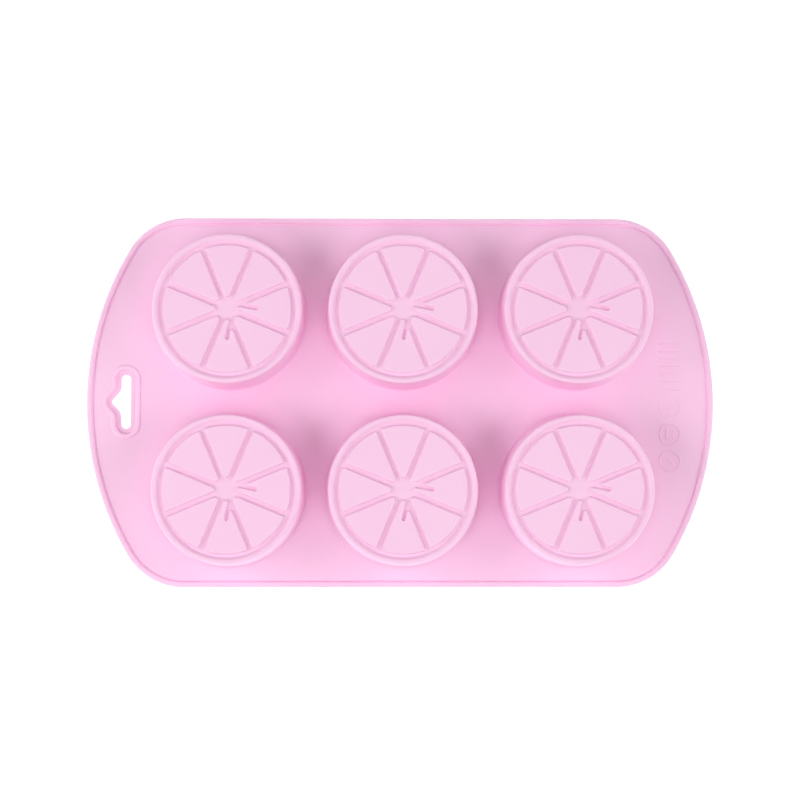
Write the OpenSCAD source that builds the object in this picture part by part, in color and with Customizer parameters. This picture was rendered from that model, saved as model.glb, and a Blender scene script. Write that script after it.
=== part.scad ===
// Silicone mould for six round soaps with a citrus-slice face, lying cups up.
// The deck's filling side lies on z = 0. x runs along the length, with the hang slot at -x.
// The mould is one moulding. Each node is one named region of it, and the regions meet face to face.

/* [Cups] */
// Outer radius of a cup where its wall meets the deck
cup_base_r = 35.8; // [30:0.1:44]
// How much smaller the radius is at a cup's closed end
cup_draft = 1.6; // [0.5:0.1:4]
// Height of the closed cup ends above the filling side
cup_h = 26; // [20:0.5:40]
// Thickness of the cup walls and floors
wall_t = 1.8; // [1.2:0.1:2.6]
// Round between a cup's wall and the deck
foot_r = 1.5; // [0.5:0.1:2]
// Round inside the cavity, between its wall and its floor
cavity_round = 1.5; // [0.5:0.1:2]
// Gap between neighbouring cups along the length
cup_gap_x = 9.4; // [6:0.1:20]
// Gap between the two rows of cups
cup_gap_y = 11.4; // [6:0.1:20]
// How far the cup group sits off the middle, away from the hang slot
cup_shift = 0.8; // [0:0.1:2]

/* [Slice face] */
// Depth of the grooves between the lip and the segments
relief = 1.6; // [0.5:0.1:2]
// Depth of the pocket behind each segment
pocket_depth = 1; // [0.3:0.1:1.4]
// Width of the lip around the slice, at its top
lip_w = 2; // [1.2:0.1:4]
// Slope of the lip's inner side, as a width
lip_slope = 1.2; // [0:0.1:1.6]
// Width of the ring groove between lip and segments
ring_groove_w = 2.1; // [1:0.1:3]
// Width of the grooves between segments
spoke_w = 2.3; // [1:0.1:3]
// Radius of a segment's tip
tip_r = 1.5; // [0.5:0.1:2.5]
// Radius of the tip of a segment that a spur groove enters
finger_tip_r = 0.8; // [0.4:0.1:1.2]
// Width of the spur grooves
spur_w = 1.5; // [1:0.1:2.4]
// Distance of a spur groove's round end from the slice's centre, along its segment
spur_end_x = 13.4; // [10:0.1:20]
// Distance of a spur groove's round end from its segment's middle line
spur_end_y = 0.2; // [0:0.1:0.5]
// Angle between a spur groove and its segment's axis
spur_angle = 11.3; // [8:0.1:14]
// How much smaller the pocket behind a segment is, on each side
pocket_inset = 0.4; // [0.2:0.1:0.8]

/* [Deck] */
// Thickness of the deck
deck_t = 2; // [1.4:0.1:3]
// Strip of deck beside the cups, along the long sides
side_land = 8.2; // [5:0.1:20]
// Radius of the two bowed ends
end_r = 141.4; // [125:0.1:200]
// Radius of the four corners
corner_r = 31; // [15:0.5:45]
// Width of the bead around the edge
bead_w = 2.8; // [1.5:0.1:4]
// Height of the bead above the deck
bead_rise = 1.2; // [0.4:0.1:3]

/* [Hang slot] */
// Width of the slot
slot_w = 4.2; // [4:0.1:6]
// Length of the slot, across the mould
slot_l = 25.2; // [20:0.1:40]
// Radius of the nose's tip
nose_tip_r = 1.5; // [1:0.1:2]
// Distance from the slot's middle to the centre of the nose's tip
nose_x = 5; // [3:0.1:8]
// Distance from the nose's axis to each of its shoulders
nose_shoulder_y = 4.4; // [2:0.1:8]
// Width of the thin web around the slot
web_w = 2.4; // [1:0.1:4]
// Thickness of the thin web
web_t = 1.2; // [0.8:0.1:1.4]
// Width of the raised collar around the web
collar_w = 2.4; // [1:0.1:4]
// Height of the collar above the deck
collar_rise = 0.7; // [0.3:0.1:2]
// Gap between the collar and the cups' feet
slot_gap = 4.7; // [2:0.1:12]
// Strip of deck between the nose's collar and the end of the mould
end_land = 7.1; // [4:0.1:20]

/* [Marks] */
// Height of the raised marks
mark_rise = 0.3; // [0.2:0.1:0.6]
// Width of a mark's strokes
mark_stroke = 0.7; // [0.5:0.1:1]
// Diameter of the round marks
mark_d = 10.2; // [6:0.1:11]
// Distance between the round marks
mark_pitch = 12.8; // [12:0.1:16]
// Gap between the marks and the cups' feet
mark_gap = 2.6; // [1:0.1:6]

/* [Hidden] */
$fn = 96;

silicone = [0.98, 0.80, 0.91];
silicone_light = [0.97, 0.82, 0.92];
cut = 1; // how far a cutting shape runs past what it cuts

// Cup section: the outer wall leans in by this much for each millimetre of height
lean = cup_draft / (cup_h - deck_t);
cup_end_r = cup_base_r - cup_draft;
groove_z = cup_h - relief;
cavity_top = groove_z - wall_t;
seam_z = cavity_top - cavity_round;
foot_edge_r = cup_base_r + foot_r;
lip_in_r = cup_end_r - lip_w;
lip_foot_r = lip_in_r - lip_slope;
segment_r = lip_foot_r - ring_groove_w + lip_slope / 2;

// Layout: columns run left to right, rows run from +y to -y
columns = 3;
rows = 2;
pitch_x = 2 * cup_base_r + cup_gap_x;
pitch_y = 2 * cup_base_r + cup_gap_y;

// Deck outline: straight sides, bowed ends and round corners, all tangent
nose_out = nose_x + nose_tip_r + web_w + collar_w;
collar_half = slot_w / 2 + web_w + collar_w;
end_strip = slot_gap + collar_half + nose_out + end_land;
mould_l = (columns - 1) * pitch_x + 2 * foot_edge_r - 2 * cup_shift + 2 * end_strip;
mould_w = (rows - 1) * pitch_y + 2 * foot_edge_r + 2 * side_land;
end_x = mould_l / 2 - end_r;
corner_y = mould_w / 2 - corner_r;
corner_x = end_x + sqrt(pow(end_r - corner_r, 2) - pow(corner_y, 2));
corner_turn = atan2(corner_y, corner_x - end_x);

slot_x = -mould_l / 2 + end_land + nose_out;
mark_x = cup_shift + (columns - 1) / 2 * pitch_x + foot_edge_r + mark_gap + mark_d / 2;
mark_first_y = -2.3; // middle of the round mark nearest the mould's middle
mark_bars = 7;
mark_bar_gap = 0.9; // between the two columns of bars
mark_bar_l = mark_d / 2 - mark_bar_gap;
mark_bar_pitch = 3.6;

segment_count = 8;
segment_turn = 360 / segment_count;

function cup_x(n) = cup_shift + ((n - 1) % columns - (columns - 1) / 2) * pitch_x;
function cup_y(n) = ((rows - 1) / 2 - floor((n - 1) / columns)) * pitch_y;
function wall_r(z) = cup_base_r - (z - deck_t) * lean;
function polar(r, angle) = r * [cos(angle), sin(angle)];
function arc(centre, r, from, to, steps = 10) =
    [for (i = [0 : steps]) centre + polar(r, from + (to - from) * i / steps)];

module at_cup(n) {
    translate([cup_x(n), cup_y(n), 0]) children();
}

// ---- deck ----

// Outline of the mould, drawn in by inset
module outline(inset = 0) {
    reach = 2 * end_r;
    square([2 * corner_x, mould_w - 2 * inset], center = true);
    for (side = [-1, 1]) {
        for (y = [-corner_y, corner_y]) translate([side * corner_x, y]) circle(corner_r - inset);
        translate([side * end_x, 0]) intersection() {
            circle(end_r - inset);
            polygon([
                [0, 0],
                [side * reach, reach * tan(corner_turn)],
                [side * reach, -reach * tan(corner_turn)]
            ]);
        }
    }
}

// Hang slot with its nose towards the mould's end, grown by grow on every side
module hang_slot(grow = 0) {
    end_y = (slot_l - slot_w) / 2;
    r = slot_w / 2 + grow;
    square([2 * r, 2 * end_y], center = true);
    for (y = [-end_y, end_y]) translate([0, y]) circle(r);
    hull() {
        translate([-nose_x, 0]) circle(nose_tip_r + grow, $fn = 48);
        for (y = [-nose_shoulder_y, nose_shoulder_y]) translate([0, y]) circle(r, $fn = 48);
    }
}

module deck() {
    color(silicone) linear_extrude(deck_t) difference() {
        outline(bead_w);
        for (n = [1 : rows * columns]) translate([cup_x(n), cup_y(n)]) circle(foot_edge_r);
        translate([slot_x, 0]) hang_slot(web_w + collar_w);
    }
}

module edge_bead() {
    color(silicone) linear_extrude(deck_t + bead_rise) difference() {
        outline();
        outline(bead_w);
    }
}

// Raised collar with a thin web inside it, which the slot goes through
module hang_collar() {
    color(silicone) translate([slot_x, 0, 0]) {
        linear_extrude(deck_t + collar_rise) difference() {
            hang_slot(web_w + collar_w);
            hang_slot(web_w);
        }
        linear_extrude(web_t) difference() {
            hang_slot(web_w);
            hang_slot();
        }
    }
}

module mark_ring() {
    difference() {
        circle(d = mark_d);
        circle(d = mark_d - 2 * mark_stroke);
    }
}

// Plain raised strokes at the right-hand end: three round marks and a double row of bars
module care_marks() {
    stroke_l = mark_d * 0.5;
    color(silicone_light) translate([mark_x, 0, deck_t]) linear_extrude(mark_rise) {
        for (i = [0 : 2]) translate([0, mark_first_y - i * mark_pitch]) {
            mark_ring();
            if (i == 0) circle(d = stroke_l / 2);
            if (i == 1) for (x = [-1, 1]) translate([x * mark_d / 7, 0])
                square([mark_stroke, stroke_l], center = true);
            if (i == 2) rotate(45) square([mark_stroke, stroke_l], center = true);
        }
        for (i = [1 : mark_bars], x = [-1, 1])
            translate([x * mark_d / 4, mark_first_y + mark_d / 2 - mark_stroke + i * mark_bar_pitch])
                square([mark_bar_l, mark_stroke], center = true);
    }
}

// ---- cups ----

// Wall of a cup, with the ring of deck that it grows from
module cup_wall() {
    color(silicone) rotate_extrude() {
        polygon([
            [wall_r(0) - wall_t, 0],
            [foot_edge_r, 0],
            [foot_edge_r, deck_t],
            [cup_base_r, deck_t],
            [wall_r(seam_z), seam_z],
            [wall_r(seam_z) - wall_t, seam_z]
        ]);
        difference() {
            translate([cup_base_r - wall_t / 2, deck_t]) square([foot_r + wall_t / 2, foot_r]);
            translate([foot_edge_r, deck_t + foot_r]) circle(foot_r);
        }
    }
}

// Corner of the closed end, with the lip that frames the slice
module rind_lip() {
    corner = wall_r(cavity_top) - wall_t;
    color(silicone_light) rotate_extrude() {
        polygon([
            [wall_r(seam_z) - wall_t, seam_z],
            [wall_r(seam_z), seam_z],
            [cup_end_r, cup_h],
            [lip_in_r, cup_h],
            [lip_foot_r, groove_z],
            [lip_foot_r, cavity_top],
            [corner, cavity_top]
        ]);
        difference() {
            translate([corner - cavity_round, seam_z]) square([cavity_round + wall_t / 2, cavity_round]);
            translate([corner - cavity_round, seam_z]) circle(cavity_round);
        }
    }
}

// One segment of the slice, on the x axis: straight sides, a round tip and an arc outside
module segment(tip, inset) {
    half = segment_turn / 2;
    apex = (spoke_w / 2 + inset) / sin(half);
    far = 2 * segment_r;
    intersection() {
        circle(segment_r - inset);
        polygon(concat(
            arc([apex + tip / sin(half), 0], tip, 90 + half, 270 - half),
            [[far, (apex - far) * tan(half)], [far, (far - apex) * tan(half)]]
        ));
    }
}

// Spur groove in a segment: it leaves the hub and has a round end
module spur(inset) {
    w = spur_w + 2 * inset;
    l = 2 * spur_end_x;
    translate([spur_end_x, spur_end_y]) rotate(-spur_angle)
        polygon(concat(arc([0, 0], w / 2, -90, 90), [[-l, w / 2], [-l, -w / 2]]));
}

// All segments of a slice. The one on +x and the one on -y each have a spur groove
module segments(inset = 0) {
    for (k = [0 : segment_count - 1]) rotate(k * segment_turn)
        if (k * segment_turn == 0 || k * segment_turn == 270) difference() {
            segment(finger_tip_r, inset);
            spur(inset);
        } else segment(tip_r, inset);
}

// Floor of the cup at groove level, with a pocket behind each segment
module slice_floor() {
    color(silicone) difference() {
        translate([0, 0, cavity_top]) cylinder(r = lip_foot_r, h = wall_t);
        translate([0, 0, cavity_top - cut]) linear_extrude(pocket_depth + cut) segments(pocket_inset);
    }
}

module slice_segments() {
    color(silicone_light) translate([0, 0, groove_z]) linear_extrude(relief) segments();
}

deck();
edge_bead();
hang_collar();
care_marks();
for (n = [1 : rows * columns]) {
    at_cup(n) cup_wall();
    at_cup(n) rind_lip();
    at_cup(n) slice_floor();
    at_cup(n) slice_segments();
}
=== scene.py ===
# %% [markdown]
# # A silicone soap mould with six citrus-slice cups
#
# The mould is one soft moulding that lies with its filling side down. Its six cups stand up from a
# thin deck, and every closed cup end carries a slice: a lip, a ring groove and eight raised segments.
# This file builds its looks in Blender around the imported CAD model. Each region of the moulding is a
# closed mesh of its own, and the regions meet face to face, so that a cup's end can be pushed in.

# %% The frame and the units
import math

import bpy
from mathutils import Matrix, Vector


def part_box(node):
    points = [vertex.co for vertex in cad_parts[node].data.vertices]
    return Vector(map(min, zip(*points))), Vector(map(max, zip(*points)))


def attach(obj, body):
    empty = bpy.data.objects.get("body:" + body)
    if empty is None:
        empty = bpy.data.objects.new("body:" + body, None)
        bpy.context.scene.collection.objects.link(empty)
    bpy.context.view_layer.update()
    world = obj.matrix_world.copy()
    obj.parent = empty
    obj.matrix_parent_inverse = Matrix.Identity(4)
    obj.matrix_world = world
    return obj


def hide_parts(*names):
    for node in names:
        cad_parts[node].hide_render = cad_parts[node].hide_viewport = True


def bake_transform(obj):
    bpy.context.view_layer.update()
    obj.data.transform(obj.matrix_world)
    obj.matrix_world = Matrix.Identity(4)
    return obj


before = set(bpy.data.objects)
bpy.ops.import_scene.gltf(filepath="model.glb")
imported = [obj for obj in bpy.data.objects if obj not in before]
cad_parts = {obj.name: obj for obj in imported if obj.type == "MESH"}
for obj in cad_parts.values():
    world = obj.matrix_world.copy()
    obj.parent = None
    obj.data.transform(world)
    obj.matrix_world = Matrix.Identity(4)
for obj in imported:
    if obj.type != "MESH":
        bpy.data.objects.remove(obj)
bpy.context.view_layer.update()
MM = 0.001

# %% [markdown]
# ## Sizes
#
# Blender works in metres, but a maker thinks of a mould in millimetres. So all sizes here are in
# millimetres, and the drawing helpers below turn them into metres. Places and outer sizes are read
# from the CAD nodes' boxes. Only what a box can't tell, such as a radius, is written as a number.


# %% Sizes that the frame tells
def box_of(node):
    """Lowest and highest corner of a CAD node, in millimetres."""
    low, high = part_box(node)
    return low / MM, high / MM


CUPS = range(1, 7)
deck_top = box_of("deck")[1].z
bead_high = box_of("edge_bead")[1]
collar_high = box_of("hang_collar")[1]
marks_low, marks_high = box_of("care_marks")
wall_low, wall_high = box_of("cup_wall_1")
cup_top = box_of("rind_lip_1")[1].z
floor_low, floor_high = box_of("slice_floor_1")
segments_low, segments_high = box_of("slice_segments_1")

cup_places = {}
for n in CUPS:
    low, high = box_of(f"cup_wall_{n}")
    cup_places[n] = ((low.x + high.x) / 2, (low.y + high.y) / 2)

cup_flange_radius = (wall_high.x - wall_low.x) / 2
slice_floor_radius = (floor_high.y - floor_low.y) / 2
segment_radius = (segments_high.y - segments_low.y) / 2
print("cups stand at", {n: [round(c, 1) for c in place] for n, place in cup_places.items()})
print("groove level", round(floor_high.z, 2), "mm, top of the cups", round(cup_top, 2), "mm")

# %% [markdown]
# ## Camera
#
# The mould is seen from almost straight above, from about 0.9 m away with a long lens, so the cups
# lean outwards only a little. The camera stands slightly towards the lower left corner of the mould.

# %% Camera
CAMERA_PLACE = Vector((-13.6, -51.6, 900)) * MM
CAMERA_AIM = Vector((-0.3, 1, 0)) * MM
CAMERA_LENS = 86

bpy.ops.object.camera_add(location=CAMERA_PLACE)
camera = bpy.context.object
camera.name = "camera"
look = CAMERA_AIM - CAMERA_PLACE
tilt = math.asin(look.y / look.length)
lean = math.atan2(look.x, -look.z)
camera.rotation_euler = (tilt, -lean, 0)
camera.data.lens = CAMERA_LENS
bpy.context.scene.camera = camera
print("camera", [round(c, 3) for c in camera.location], "m, lens", camera.data.lens, "mm")

# %% [markdown]
# ## Light and floor
#
# A product studio wraps a pale object in soft light. Tall softboxes stand to its left and right, two
# more stand in front of it, and one hangs above. Hardly any light comes from behind, so the narrow
# gaps between neighbouring cups stay darker than the wide lane between the rows. The world is dim
# overhead and bright near the horizon, like the pale walls of the studio. The floor is white and
# glows a little, so that it stays pale right up to the mould and far behind it.

# %% World
scene = bpy.context.scene
scene.view_settings.view_transform = "Standard"
scene.cycles.max_bounces = 16
scene.cycles.diffuse_bounces = 12  # light bounces many times between the pale walls of two cups

# Heights on the sky are sines of the elevation: the wall ends at 9 degrees and fades out by 16
WALL_TOP = 0.16
DIM_ABOVE = 0.28
WALL_GLOW = 1
OVERHEAD_GLOW = 0.08

studio = bpy.data.worlds.new("white studio")
studio.use_nodes = True
nodes = studio.node_tree.nodes
link = studio.node_tree.links.new
background = nodes["Background"]
background.inputs["Color"].default_value = (1, 1, 1, 1)
sky = nodes.new("ShaderNodeTexCoord")
sky_height = nodes.new("ShaderNodeSeparateXYZ")
link(sky.outputs["Generated"], sky_height.inputs["Vector"])
glow = nodes.new("ShaderNodeMapRange")
glow.inputs["From Min"].default_value = WALL_TOP
glow.inputs["From Max"].default_value = DIM_ABOVE
glow.inputs["To Min"].default_value = WALL_GLOW
glow.inputs["To Max"].default_value = OVERHEAD_GLOW
link(sky_height.outputs["Z"], glow.inputs["Value"])
link(glow.outputs["Result"], background.inputs["Strength"])
scene.world = studio
print("world", studio.name)

# %% Softboxes
LIGHT_DISTANCE = 1.3


def softbox(name, azimuth, elevation, width, height, watts):
    """A soft light in that direction, in degrees: azimuth 0 is +x and 90 is +y. Sizes are in metres."""
    across = math.radians(azimuth)
    above = math.radians(elevation)
    back = Vector((math.cos(across), math.sin(across), math.tan(above))).normalized()
    bpy.ops.object.light_add(type="AREA", location=back * LIGHT_DISTANCE)
    light = bpy.context.object
    light.name = name
    light.rotation_euler = back.to_track_quat("Z", "Y").to_euler()
    light.data.shape = "RECTANGLE"
    light.data.size = width
    light.data.size_y = height
    light.data.energy = watts
    print(name, "gives", watts, "W")


softbox("left softbox", 180, 32, 0.7, 0.8, 6.3)
softbox("right softbox", 0, 32, 0.7, 0.8, 5.1)
softbox("front left softbox", 225, 45, 0.7, 0.6, 4.7)
softbox("front right softbox", 315, 45, 0.7, 0.6, 3.2)
softbox("back softbox", 90, 30, 1.0, 0.5, 2.4)
softbox("top softbox", 270, 88, 0.6, 0.6, 3)

# %% Floor
bpy.ops.mesh.primitive_plane_add(size=60)
floor = bpy.context.object
floor.name = "studio_floor"
paint = bpy.data.materials.new("white floor")
paint.use_nodes = True
shader = paint.node_tree.nodes["Principled BSDF"]
shader.inputs["Base Color"].default_value = (0.9, 0.9, 0.9, 1)
shader.inputs["Roughness"].default_value = 0.8
shader.inputs["Emission Color"].default_value = (1, 1, 1, 1)
shader.inputs["Emission Strength"].default_value = 0.8
floor.data.materials.append(paint)
print("floor", floor.name, "with", paint.name)

# %% [markdown]
# ## The silicone
#
# Platinum silicone with a pink pigment is opaque and satin. Its skin takes the finish of the steel
# tool, which is blasted very finely. So the material is one shader with a rather rough surface that
# reflects little, a hardly visible cloudiness in its colour, and a grain far finer than any shape.


# %% Pastel pink silicone
def pink_silicone():
    material = bpy.data.materials.new("pastel pink silicone")
    material.use_nodes = True
    nodes = material.node_tree.nodes
    link = material.node_tree.links.new
    shader = nodes["Principled BSDF"]
    shader.inputs["IOR"].default_value = 1.41
    shader.inputs["Specular IOR Level"].default_value = 0.3

    place = nodes.new("ShaderNodeTexCoord")
    clouds = nodes.new("ShaderNodeTexNoise")
    clouds.inputs["Scale"].default_value = 18
    clouds.inputs["Detail"].default_value = 3
    link(place.outputs["Object"], clouds.inputs["Vector"])

    pigment = nodes.new("ShaderNodeValToRGB")
    pigment.color_ramp.elements[0].position = 0.3
    pigment.color_ramp.elements[0].color = (0.945, 0.600, 0.810, 1)
    pigment.color_ramp.elements[1].position = 0.7
    pigment.color_ramp.elements[1].color = (0.955, 0.620, 0.825, 1)
    link(clouds.outputs["Fac"], pigment.inputs["Fac"])
    link(pigment.outputs["Color"], shader.inputs["Base Color"])

    gloss = nodes.new("ShaderNodeMapRange")
    gloss.inputs["To Min"].default_value = 0.42
    gloss.inputs["To Max"].default_value = 0.52
    link(clouds.outputs["Fac"], gloss.inputs["Value"])
    link(gloss.outputs["Result"], shader.inputs["Roughness"])

    grain = nodes.new("ShaderNodeTexNoise")
    grain.inputs["Scale"].default_value = 1400
    grain.inputs["Detail"].default_value = 2
    link(place.outputs["Object"], grain.inputs["Vector"])
    skin = nodes.new("ShaderNodeBump")
    skin.inputs["Strength"].default_value = 0.12
    skin.inputs["Distance"].default_value = 0.00004
    link(grain.outputs["Fac"], skin.inputs["Height"])
    link(skin.outputs["Normal"], shader.inputs["Normal"])
    return material


silicone = pink_silicone()
print("material", silicone.name)

# %% [markdown]
# ## Drawing with arcs
#
# Every outline of a mould is a chain of arcs joined by straight lines, and every cross-section is a
# polygon with some of its corners rounded, which is again such a chain. So one small set of helpers
# draws all of it. A point is extruded along each line and spun round each arc. The same run, done
# with a whole cross-section instead of a point, sweeps that section along the outline.

# %% Helpers that draw a chain of arcs
# A plane is given by its two directions
LYING = (Vector((1, 0, 0)), Vector((0, 1, 0)))
UPRIGHT = (Vector((1, 0, 0)), Vector((0, 0, 1)))

# How far a step may leave its arc, and how near two points count as one, in millimetres
FLATNESS = 0.003
TOUCHING = 0.01
LONGEST_STEP = math.radians(9)
QUARTER = math.pi / 2
HALF = math.pi
FULL = 2 * math.pi


def nothing_selected():
    bpy.ops.object.select_all(action="DESELECT")


def only(piece):
    """Makes piece the one that the next operators act on."""
    nothing_selected()
    piece.select_set(True)
    bpy.context.view_layer.objects.active = piece


def steps_for(radius, turn):
    """How many straight steps an arc needs, so that none leaves the true arc by more than FLATNESS."""
    step = 2 * math.acos(max(0.5, 1 - FLATNESS / radius))
    return max(2, math.ceil(abs(turn) / min(step, LONGEST_STEP)))


def on_arc(arc, share):
    """Where an arc (x, y, radius, start angle, end angle) starts, share 0, or ends, share 1."""
    x, y, radius, start, end = arc
    angle = start + (end - start) * share
    return Vector((x + radius * math.cos(angle), y + radius * math.sin(angle)))


def run_along(arcs, plane=LYING, level=Vector((0, 0, 0)), closed=True):
    """Drags what is selected in edit mode along the arcs and the straight lines between them."""
    right, up = plane
    for arc, following in zip(arcs, arcs[1:] + arcs[:1]):
        x, y, radius, start, end = arc
        if radius > 0:
            bpy.ops.mesh.spin(
                steps=steps_for(radius, end - start),
                angle=start - end,  # with no window a positive angle turns clockwise
                center=(level + right * x + up * y) * MM,
                axis=right.cross(up),
            )
        gap = on_arc(following, 0) - on_arc(arc, 1)
        is_last = following is arcs[0]
        if gap.length > TOUCHING and (closed or not is_last):
            way = (right * gap.x + up * gap.y) * MM
            bpy.ops.mesh.extrude_region_move(TRANSFORM_OT_translate={"value": way})


def merged():
    """In edit mode: joins points that lie on each other, and turns all faces outwards."""
    bpy.ops.mesh.select_all(action="SELECT")
    bpy.ops.mesh.remove_doubles(threshold=TOUCHING * MM)
    bpy.ops.mesh.normals_make_consistent(inside=False)


def draw(name, arcs, plane=LYING, level=Vector((0, 0, 0)), inset=0, closed=True):
    """A new object that holds the chain of arcs as edges. The first arc may be drawn in by inset."""
    right, up = plane
    nothing_selected()
    bpy.ops.mesh.primitive_plane_add(size=MM)
    piece = bpy.context.object
    piece.name = name
    bpy.ops.object.mode_set(mode="EDIT")
    bpy.ops.mesh.merge(type="CENTER")
    start = on_arc(arcs[0], 0)
    place = level + right * (start.x - inset) + up * start.y
    bpy.ops.transform.translate(value=place * MM)
    run_along(arcs, plane, level, closed)
    merged()
    bpy.ops.object.mode_set(mode="OBJECT")
    return piece


def sweep(section, arcs, level=Vector((0, 0, 0))):
    """Drags a section's edges along the arcs, which makes a surface of them."""
    only(section)
    bpy.ops.object.mode_set(mode="EDIT")
    bpy.ops.mesh.select_all(action="SELECT")
    run_along(arcs, LYING, level)
    merged()
    bpy.ops.object.mode_set(mode="OBJECT")
    return section


def rounded(corners):
    """A polygon's corners (x, y, radius) as a chain of arcs."""
    arcs = []
    befores = corners[-1:] + corners[:-1]
    afters = corners[1:] + corners[:1]
    for before, corner, after in zip(befores, corners, afters):
        here = Vector(corner[:2])
        coming = (here - Vector(before[:2])).normalized()
        leaving = (Vector(after[:2]) - here).normalized()
        turn = math.atan2(coming.cross(leaving), coming.dot(leaving))
        radius = corner[2]
        inwards = Vector((-coming.y, coming.x)) * math.copysign(radius, turn)
        centre = here - coming * radius * math.tan(abs(turn) / 2) + inwards
        start = math.atan2(-inwards.y, -inwards.x)
        arcs.append((centre.x, centre.y, radius, start, start + turn))
    return arcs


# %% [markdown]
# ## Shared finishing
#
# Every piece ends the same way. Its normals are smooth except across real edges, it gets the
# silicone, and the CAD nodes that it stands for are hidden.


# %% Helpers that finish a piece
def finished(piece, *nodes):
    only(piece)
    bpy.ops.object.shade_smooth_by_angle(angle=math.radians(35))
    piece.data.materials.clear()
    piece.data.materials.append(silicone)
    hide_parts(*nodes)
    print(piece.name, "has", len(piece.data.polygons), "faces")
    return piece


def select_loop_at(piece, height):
    """In edit mode: selects only the open edges whose points all lie at that height."""
    bpy.ops.mesh.select_mode(type="VERT")
    bpy.ops.mesh.select_all(action="DESELECT")
    bpy.ops.mesh.select_non_manifold(extend=False, use_wire=True, use_boundary=True)
    bpy.ops.object.mode_set(mode="OBJECT")
    for vertex in piece.data.vertices:
        if abs(vertex.co.z / MM - height) > TOUCHING:
            vertex.select = False
    for edge in piece.data.edges:
        edge.select = all(piece.data.vertices[v].select for v in edge.vertices)
    for face in piece.data.polygons:
        face.select = False
    bpy.ops.object.mode_set(mode="EDIT")


def capped(piece, *heights):
    """Closes the open loops at those heights with flat faces."""
    only(piece)
    bpy.ops.object.mode_set(mode="EDIT")
    for height in heights:
        select_loop_at(piece, height)
        bpy.ops.mesh.edge_face_add()
    merged()
    bpy.ops.object.mode_set(mode="OBJECT")
    return piece


# %% [markdown]
# ## The raised bead around the edge
#
# A thin silicone sheet tears from its edge, so the real mould has a bead there, higher than the deck,
# with a narrow crease along its inner foot. It could be a curve with a bevel, but a sweep of its
# cross-section keeps the deck's edge and the bead's edge on exactly the same points. The outline has
# two bowed ends, four round corners and two straight sides, all tangent.

# %% Outline of the mould
END_RADIUS = 141.4
CORNER_RADIUS = 31
end_centre = bead_high.x - END_RADIUS
corner_y = bead_high.y - CORNER_RADIUS
corner_x = end_centre + math.sqrt((END_RADIUS - CORNER_RADIUS) ** 2 - corner_y**2)
bow = math.atan2(corner_y, corner_x - end_centre)

mould_outline = [
    (end_centre, 0, END_RADIUS, 0, bow),
    (corner_x, corner_y, CORNER_RADIUS, bow, QUARTER),
    (-corner_x, corner_y, CORNER_RADIUS, QUARTER, HALF - bow),
    (-end_centre, 0, END_RADIUS, HALF - bow, HALF + bow),
    (-corner_x, -corner_y, CORNER_RADIUS, HALF + bow, HALF + QUARTER),
    (corner_x, -corner_y, CORNER_RADIUS, HALF + QUARTER, FULL - bow),
    (end_centre, 0, END_RADIUS, FULL - bow, FULL),
]

# %% The bead
# A section's corners are (distance from the middle, height, radius of the corner)
BEAD_WIDTH = 2.8
BEAD_CREASE = 0.5
CREASE_DEPTH = 0.3
bead_seam = BEAD_WIDTH + 2 * BEAD_CREASE
bead_outside = bead_high.x
bead_inside = bead_outside - BEAD_WIDTH
crease_end = bead_outside - bead_seam
bead_section = rounded(
    [
        (crease_end, 0, 0),
        (bead_outside, 0, 0.5),
        (bead_outside, bead_high.z, 1.2),
        (bead_inside + 0.2, bead_high.z, 0.9),
        (bead_inside - 0.1, deck_top - CREASE_DEPTH, 0.15),
        (crease_end + 0.3, deck_top, 0.4),
        (crease_end, deck_top, 0),
    ]
)
bead = sweep(draw("edge_bead_rim", bead_section, UPRIGHT), mould_outline)
finished(bead, "edge_bead")
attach(bead, "mould_sheet")

# %% [markdown]
# ## The hang slot with its collar
#
# The slot at the left-hand end takes a display peg. Its outline is a long slot with a nose, and soft
# blends lead from the nose into the slot's side. A thin web surrounds the slot, and a raised collar
# surrounds the web. All three are parallel to the slot, so one cross-section swept around it makes
# them in one go.

# %% Outline of the hang slot
SLOT_HALF_WIDTH = 2.1
NOSE_TIP = 1.5
NOSE_REACH = 5
NOSE_SHOULDER = 4.4
BLEND_RADIUS = 5.8
COLLAR_REACH = 4.8
slot_x = collar_high.x - COLLAR_REACH - SLOT_HALF_WIDTH
slot_end = collar_high.y - COLLAR_REACH - SLOT_HALF_WIDTH
slot_middle = Vector((slot_x, 0, 0))

# The nose's side touches its tip circle and a circle at its shoulder, which gives the side's angle
nose_side = math.atan2(NOSE_SHOULDER, NOSE_REACH)
nose_side += math.acos((NOSE_TIP - SLOT_HALF_WIDTH) / math.hypot(NOSE_REACH, NOSE_SHOULDER))
blend_x = -SLOT_HALF_WIDTH - BLEND_RADIUS
nose_side_distance = NOSE_TIP - NOSE_REACH * math.cos(nose_side)
blend_y = nose_side_distance + BLEND_RADIUS - blend_x * math.cos(nose_side)
blend_y /= math.sin(nose_side)

slot_outline = [
    (0, slot_end, SLOT_HALF_WIDTH, 0, HALF),
    (blend_x, blend_y, BLEND_RADIUS, 0, nose_side - HALF),
    (-NOSE_REACH, 0, NOSE_TIP, nose_side, FULL - nose_side),
    (blend_x, -blend_y, BLEND_RADIUS, HALF - nose_side, 0),
    (0, -slot_end, SLOT_HALF_WIDTH, HALF, FULL),
]

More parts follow.
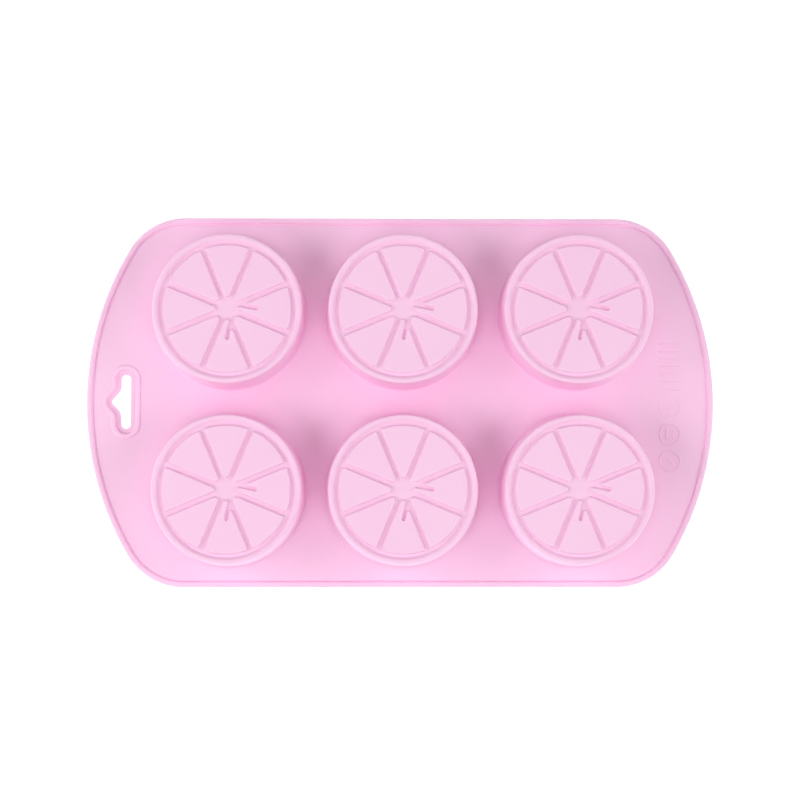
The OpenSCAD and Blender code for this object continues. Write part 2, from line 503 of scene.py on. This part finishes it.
# %% Collar and web
COLLAR_INNER = 2.4
COLLAR_FOOT = 0.4
WEB_THICKNESS = 0.9
collar_seam = COLLAR_REACH + COLLAR_FOOT
rim = SLOT_HALF_WIDTH
collar_inside = rim + COLLAR_INNER
collar_outside = rim + COLLAR_REACH
collar_section = rounded(
    [
        (rim, 0, 0.3),
        (rim + collar_seam, 0, 0),
        (rim + collar_seam, deck_top, 0),
        (collar_outside, deck_top, COLLAR_FOOT),
        (collar_outside - 0.3, collar_high.z, 0.6),
        (collar_inside + 0.3, collar_high.z, 0.6),
        (collar_inside, WEB_THICKNESS, 0.15),
        (rim, WEB_THICKNESS, 0.35),
    ]
)
section_place = slot_middle + Vector((0, slot_end, 0))
collar = draw("hang_slot_collar", collar_section, UPRIGHT, section_place)
sweep(collar, slot_outline, slot_middle)
finished(collar, "hang_collar")
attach(collar, "mould_sheet")

# %% [markdown]
# ## The deck
#
# The deck is a flat sheet with six round holes for the cups and one hole for the hang slot. All its
# borders are drawn as edges, one fill makes the sheet, and an extrusion gives it its thickness. The
# borders repeat the points of the bead, the collar and the cups, so no seam can be seen.

# %% Deck
CUP_STEPS = 192
deck = draw("deck_sheet", mould_outline, inset=bead_seam)
slot_border = draw("slot_border", slot_outline, level=slot_middle, inset=-collar_seam)
only(deck)
slot_border.select_set(True)
bpy.ops.object.join()
bpy.ops.object.mode_set(mode="EDIT")
for x, y in cup_places.values():
    bpy.ops.mesh.primitive_circle_add(
        vertices=CUP_STEPS, radius=cup_flange_radius * MM, location=(x * MM, y * MM, 0)
    )
bpy.ops.mesh.select_all(action="SELECT")
bpy.ops.mesh.fill()
bpy.ops.mesh.select_all(action="SELECT")
bpy.ops.mesh.extrude_region_move(TRANSFORM_OT_translate={"value": (0, 0, deck_top * MM)})
merged()
bpy.ops.object.mode_set(mode="OBJECT")
finished(deck, "deck")
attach(deck, "mould_sheet")

# %% [markdown]
# ## Raised shapes
#
# The segments of a slice and the marks at the right-hand end are raised shapes with the same kind of
# edge: a small fillet at the foot, a side, and a rounded top. That little cross-section is swept
# around the shape's outline, and the two loops that stay open are closed with flat faces.


# %% Helpers for raised shapes
def edge_section(x, low, high, fillet, slope, top_round):
    """Cross-section of a raised edge whose side stands at x, from low to high. It leans by slope."""
    return rounded(
        [
            (x + slope + fillet, low, 0),
            (x + slope, low, fillet * 0.9),
            (x - slope, high, top_round * 0.9),
            (x - slope - top_round, high, 0),
        ]
    )


def raised(name, section, outline):
    """The section swept along the outline, closed at its lowest and its highest level."""
    piece = draw(name, section, UPRIGHT, Vector((0, outline[0][1], 0)), closed=False)
    sweep(piece, outline)
    return capped(piece, section[0][1], section[-1][1])


def turned_copy(piece, angle, place=(0, 0)):
    """A copy of piece with its own mesh, turned about the origin and then moved to place."""
    only(piece)
    bpy.ops.object.duplicate()
    copy = bpy.context.object
    copy.rotation_euler.z = angle
    copy.location = (place[0] * MM, place[1] * MM, 0)
    bpy.ops.object.transform_apply(location=True, rotation=True, scale=False)
    return copy


def joined(name, pieces):
    only(pieces[0])
    for piece in pieces:
        piece.select_set(True)
    bpy.ops.object.join()
    whole = bpy.context.object
    whole.name = name
    return whole


# %% [markdown]
# ## Raised marks at the right-hand end
#
# A real mould carries care symbols and letters here. They are replaced with plain shapes that say
# nothing: three round marks, with a dot, two bars and a slanting bar in them, and two columns of bars.
# They are only 0.3 mm high, which is why they hardly show. Each kind of shape is made once.

# %% Marks
MARK_STROKE = 0.7
MARK_SUNK = 0.02
MARK_PITCH = 12.8
BAR_PITCH = 3.6
BARS = 7
ROUND_MARKS = 3
COLUMN_GAP = 0.9
mark_radius = (marks_high.x - marks_low.x) / 2
mark_x = (marks_high.x + marks_low.x) / 2
last_mark_y = marks_low.y + mark_radius
first_mark_y = last_mark_y + 2 * MARK_PITCH
first_bar_y = first_mark_y + mark_radius - MARK_STROKE + BAR_PITCH
bar_length = mark_radius - COLUMN_GAP
stroke_length = mark_radius


def mark_edge(x):
    return edge_section(x, deck_top - MARK_SUNK, marks_high.z, fillet=0.1, slope=0.03, top_round=0.15)


def bar(name, length):
    """A straight stroke along x with round corners, about the origin."""
    flat = 0.02  # a corner's radius stays this much under half the stroke
    corner = MARK_STROKE / 2 - flat
    x = length / 2 - corner
    y = MARK_STROKE / 2 - corner
    outline = [
        (x, y, corner, 0, QUARTER),
        (-x, y, corner, QUARTER, HALF),
        (-x, -y, corner, HALF, HALF + QUARTER),
        (x, -y, corner, HALF + QUARTER, FULL),
    ]
    return raised(name, mark_edge(length / 2), outline)


def disc(name, radius):
    return raised(name, mark_edge(radius), [(0, 0, radius, 0, FULL)])


def ring(name, radius):
    """A round stroke: its whole cross-section is swept once around."""
    outside = mark_edge(radius)
    inside = mark_edge(MARK_STROKE - radius)
    mirrored = [(-x, z, r, HALF - end, HALF - start) for x, z, r, start, end in inside[::-1]]
    section = draw(name, outside + mirrored, UPRIGHT)
    return sweep(section, [(0, 0, radius, 0, FULL)])


round_mark = ring("round_mark", mark_radius)
dot = disc("dot", stroke_length / 4)
stroke = bar("stroke", stroke_length)
short_bar = bar("short_bar", bar_length)

marks = []
for i in range(ROUND_MARKS):
    marks.append(turned_copy(round_mark, 0, (mark_x, first_mark_y - i * MARK_PITCH)))
marks.append(turned_copy(dot, 0, (mark_x, first_mark_y)))
for across in (-1, 1):
    place = (mark_x + across * mark_radius * 2 / 7, first_mark_y - MARK_PITCH)
    marks.append(turned_copy(stroke, QUARTER, place))
    for i in range(BARS):
        place = (mark_x + across * mark_radius / 2, first_bar_y + i * BAR_PITCH)
        marks.append(turned_copy(short_bar, 0, place))
marks.append(turned_copy(stroke, QUARTER * 1.5, (mark_x, last_mark_y)))
for model in (round_mark, dot, stroke, short_bar):
    bpy.data.objects.remove(model)
raised_marks = joined("raised_marks", marks)
finished(raised_marks, "care_marks")
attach(raised_marks, "mould_sheet")

# %% [markdown]
# ## One cup: the shell
#
# A cup is round, so its wall, its lip and the corner inside are one cross-section spun about the
# cup's axis. The foot runs into the deck with a soft round, the wall leans in a little so that the
# soap comes out, and the lip around the slice has a crowned top.

# %% Cross-section of a cup, spun
FOOT_ROUND = 1.5
DRAFT = 1.6
WALL = 1.8
LIP_WIDTH = 2
LIP_SLOPE = 1.15
LIP_FOOT = 0.15
FLOOR_INSET = 0.3
groove_level = floor_high.z
ceiling = floor_low.z
cup_base_radius = cup_flange_radius - FOOT_ROUND
cup_end_radius = cup_base_radius - DRAFT
wall_lean = DRAFT / (cup_top - deck_top)
lip_inside = cup_end_radius - LIP_WIDTH
floor_seam = slice_floor_radius - FLOOR_INSET


def inner_radius(height):
    return cup_base_radius - (height - deck_top) * wall_lean - WALL


shell_section = rounded(
    [
        (cup_flange_radius, 0, 0),
        (cup_flange_radius, deck_top, 0),
        (cup_base_radius, deck_top, FOOT_ROUND - 0.1),
        (cup_end_radius, cup_top, 0.8),
        (lip_inside, cup_top, 1.2),
        (lip_inside - LIP_SLOPE, groove_level, LIP_FOOT),
        (floor_seam, groove_level, 0),
        (floor_seam, ceiling, 0),
        (inner_radius(ceiling), ceiling, 1.5),
        (inner_radius(0), 0, 0.9),
    ]
)
shell = draw("cup_shell", shell_section, UPRIGHT)
only(shell)
bpy.ops.object.mode_set(mode="EDIT")
bpy.ops.mesh.select_all(action="SELECT")
bpy.ops.mesh.spin(steps=CUP_STEPS, angle=FULL, center=(0, 0, 0), axis=(0, 0, 1))
merged()
bpy.ops.object.mode_set(mode="OBJECT")
print("one cup shell has", len(shell.data.polygons), "faces")

# %% [markdown]
# ## One cup: the raised segments
#
# A segment is a wedge with a round tip, straight sides, small rounds at its outer corners and an arc
# outside. Two of the eight segments have a spur groove that leaves the hub. Each outline is again a
# chain of arcs, and the segments are raised shapes like the marks.

# %% Outlines of the segments
SEGMENTS = 8
WITH_SPUR = (0, 6)
SPOKE_WIDTH = 2.3
SPUR_WIDTH = 1.5
SPUR_END = Vector((13.4, 0.2))
SPUR_ANGLE = math.radians(11.3)
OUTER_ROUND = 0.8
TIP_RADIUS = 1.5
SPUR_TIPS = (1.0, 0.65)
POCKET_TIPS = (1.0, 0.9)
half_wedge = math.pi / SEGMENTS


def direction(angle):
    return Vector((math.cos(angle), math.sin(angle)))


def centre_between(radius, first_angle, first_distance, second_angle, second_distance):
    """Centre of the circle that touches two lines from inside. A line is a normal's angle and a distance."""
    a = direction(first_angle)
    b = direction(second_angle)
    p = first_distance - radius
    q = second_distance - radius
    return Vector((p * b.y - q * a.y, a.x * q - b.x * p)) / a.cross(b)


def segment_outline(tip, spur_tips=None):
    """A segment that points along +x. With spur_tips, the radii of the two tips beside its spur groove."""
    side_angle = half_wedge + QUARTER
    side_distance = -SPOKE_WIDTH / 2
    lead = math.asin((SPOKE_WIDTH / 2 + OUTER_ROUND) / (segment_radius - OUTER_ROUND))
    corner_angle = half_wedge - lead
    corner = direction(corner_angle) * (segment_radius - OUTER_ROUND)
    outside = [
        (0, 0, segment_radius, 0, corner_angle),
        (corner.x, corner.y, OUTER_ROUND, corner_angle, side_angle),
    ]
    way_back = [
        (corner.x, -corner.y, OUTER_ROUND, -side_angle, -corner_angle),
        (0, 0, segment_radius, -corner_angle, 0),
    ]
    if spur_tips is None:
        point = centre_between(tip, side_angle, side_distance, -side_angle, side_distance)
        return outside + [(point.x, point.y, tip, side_angle, FULL - side_angle)] + way_back
    finger, upper = spur_tips
    up = QUARTER - SPUR_ANGLE
    down = up - HALF
    upper_wall = direction(down).dot(SPUR_END) - SPUR_WIDTH / 2
    lower_wall = direction(up).dot(SPUR_END) - SPUR_WIDTH / 2
    high = centre_between(upper, side_angle, side_distance, down, upper_wall)
    low = centre_between(finger, up, lower_wall, -side_angle, side_distance)
    return (
        outside
        + [
            (high.x, high.y, upper, side_angle, FULL + down),
            (SPUR_END.x, SPUR_END.y, SPUR_WIDTH / 2, up, down),
            (low.x, low.y, finger, up, FULL - side_angle),
        ]
        + way_back
    )


# %% One plain and one spurred segment
TOP_ROUND = 0.33
SIDE_SLOPE = 0.28
FOOT_FILLET = 0.35
SUNK = 0.04
segment_section = edge_section(
    segment_radius, groove_level - SUNK, cup_top, FOOT_FILLET, SIDE_SLOPE, TOP_ROUND
)
plain_segment = raised("plain_segment", segment_section, segment_outline(TIP_RADIUS))
spur_segment = raised("spur_segment", segment_section, segment_outline(TIP_RADIUS, SPUR_TIPS))
print("a plain segment has", len(plain_segment.data.polygons), "faces")


# %% A whole slice
def ring_of_eight(name, plain, spurred):
    """Eight copies round the axis. The first one and the seventh have a spur groove."""
    copies = []
    for k in range(SEGMENTS):
        model = spurred if k in WITH_SPUR else plain
        copies.append(turned_copy(model, k * 2 * half_wedge))
    for model in (plain, spurred):
        bpy.data.objects.remove(model)
    return joined(name, copies)


slice_segments = ring_of_eight("segments", plain_segment, spur_segment)
print("a slice's segments have", len(slice_segments.data.polygons), "faces")

# %% [markdown]
# ## One cup: the floor of the slice
#
# Between the segments lies the floor at groove level. Silicone moulds keep about the same wall all
# over, so behind each raised segment the floor has a pocket, which shapes the face of the soap. The
# pockets' walls are swept like the segments, one fill closes the underside around them, and an
# extrusion of the rim adds the top.

# %% Pockets
POCKET_DEPTH = 1
POCKET_INSET = 0.4
POCKET_ROUND = 0.3
pocket_top = ceiling + POCKET_DEPTH
pocket_edge = segment_radius - POCKET_INSET
pocket_section = rounded(
    [
        (pocket_edge + POCKET_ROUND, ceiling, 0),
        (pocket_edge, ceiling, POCKET_ROUND * 0.9),
        (pocket_edge, pocket_top, POCKET_ROUND * 0.9),
        (pocket_edge - POCKET_ROUND, pocket_top, 0),
    ]
)


def pocket(name, outline):
    piece = draw(name, pocket_section, UPRIGHT, closed=False)
    sweep(piece, outline)
    return capped(piece, pocket_top)


plain_pocket = pocket("plain_pocket", segment_outline(TIP_RADIUS))
spur_pocket = pocket("spur_pocket", segment_outline(TIP_RADIUS, POCKET_TIPS))
pockets = ring_of_eight("pockets", plain_pocket, spur_pocket)

# %% Floor with its pockets
slice_floor = pockets
slice_floor.name = "floor"
only(slice_floor)
bpy.ops.object.mode_set(mode="EDIT")
bpy.ops.mesh.primitive_circle_add(
    vertices=CUP_STEPS, radius=floor_seam * MM, location=(0, 0, ceiling * MM)
)
rise = (groove_level - ceiling) * MM
bpy.ops.mesh.extrude_region_move(TRANSFORM_OT_translate={"value": (0, 0, rise)})
bpy.ops.mesh.edge_face_add()
select_loop_at(slice_floor, ceiling)
bpy.ops.mesh.fill()
merged()
bpy.ops.object.mode_set(mode="OBJECT")
print("a slice's floor has", len(slice_floor.data.polygons), "faces")


# %% [markdown]
# ## Six cups
#
# The three pieces of a cup were made about the origin. They are copied to the six places, each copy
# with its own mesh. The floor and the segments ride on the closed end, which is pushed in to free the
# soap. The shell's place is baked into its mesh, and it rides on no body.

# %% Copies at the six places
def placed_copy(piece, name, place):
    copy = turned_copy(piece, 0, place)
    copy.name = name
    return copy


for n, place in cup_places.items():
    cup_shell = placed_copy(shell, f"cup_shell_{n}", place)
    finished(cup_shell, f"cup_wall_{n}", f"rind_lip_{n}")
    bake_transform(cup_shell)
    face = placed_copy(slice_floor, f"slice_face_{n}", place)
    finished(face, f"slice_floor_{n}")
    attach(face, f"cup_end_{n}")
    pads = placed_copy(slice_segments, f"slice_pads_{n}", place)
    finished(pads, f"slice_segments_{n}")
    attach(pads, f"cup_end_{n}")

for model in (shell, slice_floor, slice_segments):
    bpy.data.objects.remove(model)
